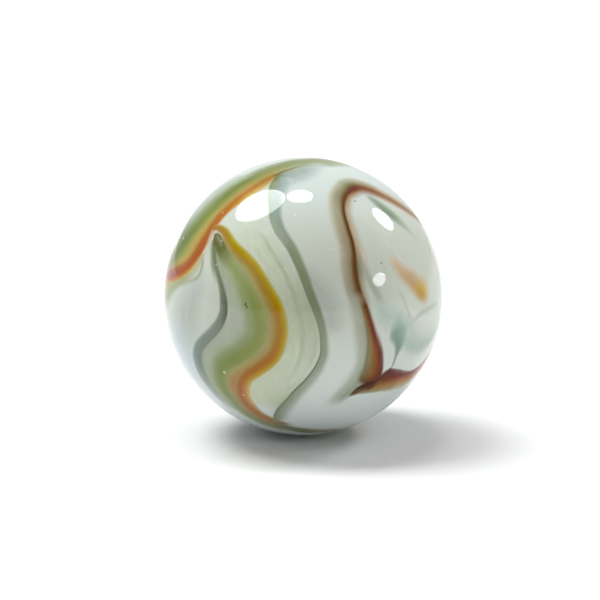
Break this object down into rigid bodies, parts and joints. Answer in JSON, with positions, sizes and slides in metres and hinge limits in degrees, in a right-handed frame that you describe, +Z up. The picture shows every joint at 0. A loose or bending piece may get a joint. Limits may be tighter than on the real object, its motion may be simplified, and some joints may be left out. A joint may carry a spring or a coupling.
{
  "type": "glass marble",
  "caption": "Solid polished glass ball of white opal glass swirled with green, amber and dark red, for games, display or as a small rolling weight.",
  "frame": {"origin": "centre of the ball", "axes": "+Z up as displayed; -Y is the side with the most swirl, which faces the viewer; +X to the viewer's right"},
  "size_m": [0.025, 0.025, 0.025],
  "materials": {
    "swirled_glass": "fire-polished, glossy, opaque opal glass with coloured swirls"
  },
  "bodies": {
    "root": {"marble": "swirled_glass"}
  },
  "joints": []
}
